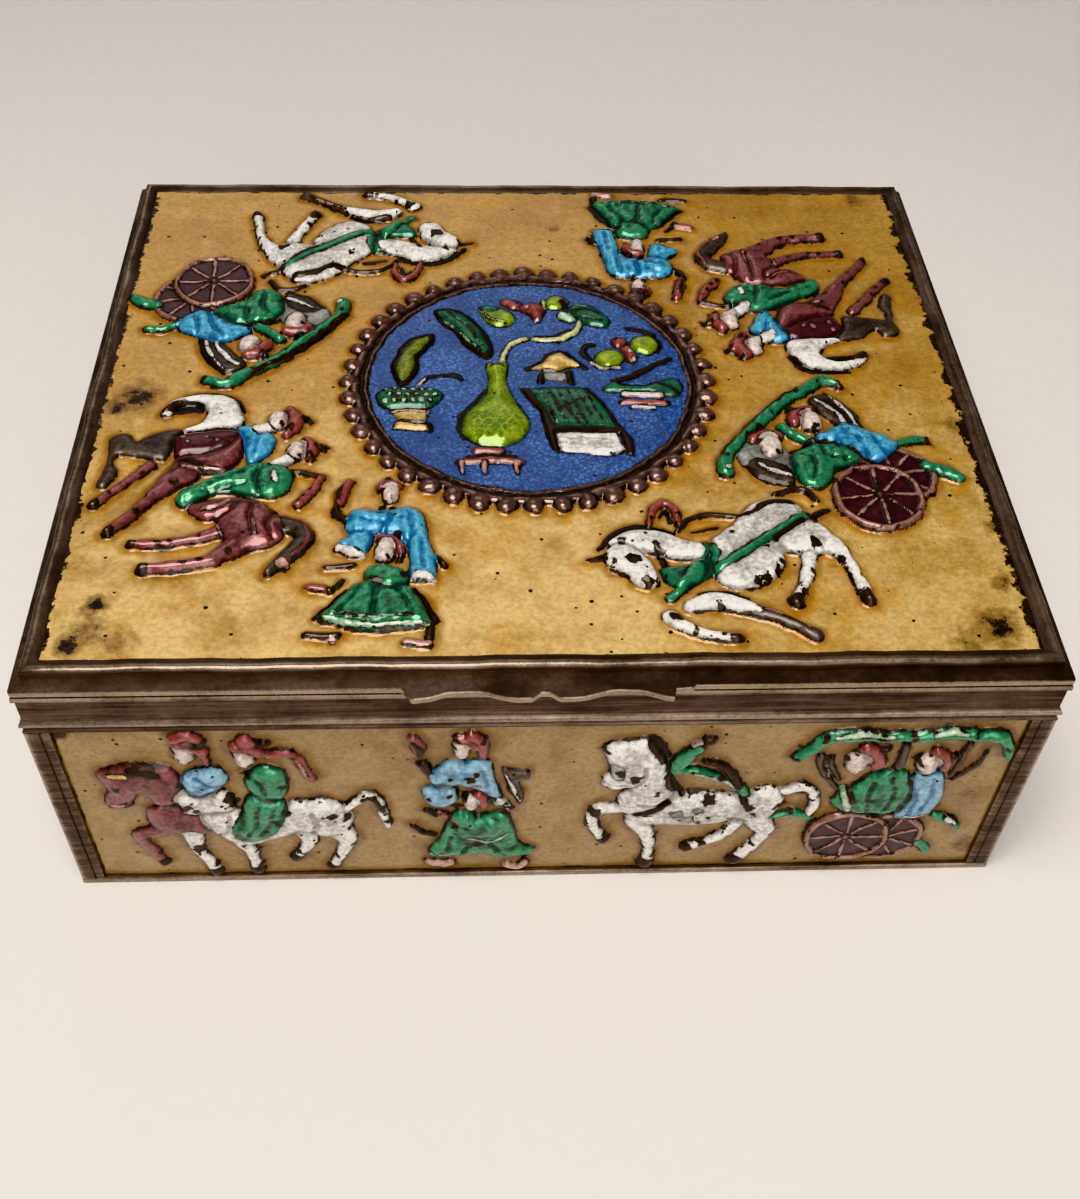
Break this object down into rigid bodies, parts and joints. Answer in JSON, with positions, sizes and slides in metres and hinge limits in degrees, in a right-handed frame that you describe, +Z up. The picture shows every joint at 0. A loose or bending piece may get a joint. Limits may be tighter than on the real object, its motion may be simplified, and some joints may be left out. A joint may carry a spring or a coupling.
{
  "type": "trinket box",
  "caption": "Hinged brass trinket box with pressed and enamelled panels: a beaded still-life medallion on the lid, ringed by carts, riders and walkers.",
  "frame": {"origin": "middle of the underside", "axes": "+X along the front to the right, +Y from the front to the hinge, +Z up"},
  "size_m": [0.116, 0.0979, 0.0408],
  "materials": {
    "patinated_brass": "dark brown patina with rubbed, brighter edges",
    "hinge_brass": "dull aged brass",
    "side_enamel": "worn glossy enamel on pressed sheet, olive ground with coloured figures",
    "lid_enamel": "worn glossy enamel on pressed sheet, amber ground with coloured figures"
  },
  "bodies": {
    "base": {"base_case": "patinated_brass", "front_panel": "side_enamel", "back_panel": "side_enamel", "left_panel": "side_enamel", "right_panel": "side_enamel", "base_hinge_leaf": "hinge_brass", "hinge_pin": "hinge_brass"},
    "lid": {"lid_frame": "patinated_brass", "lid_panel": "lid_enamel", "lid_hinge_leaf": "hinge_brass"}
  },
  "joints": [
    {"name": "lid_hinge", "type": "hinge", "parent": "base", "child": "lid", "pos_m": [0, 0.0476, 0.0349], "axis": [-1, 0, 0], "range_deg": [0, 105]}
  ]
}
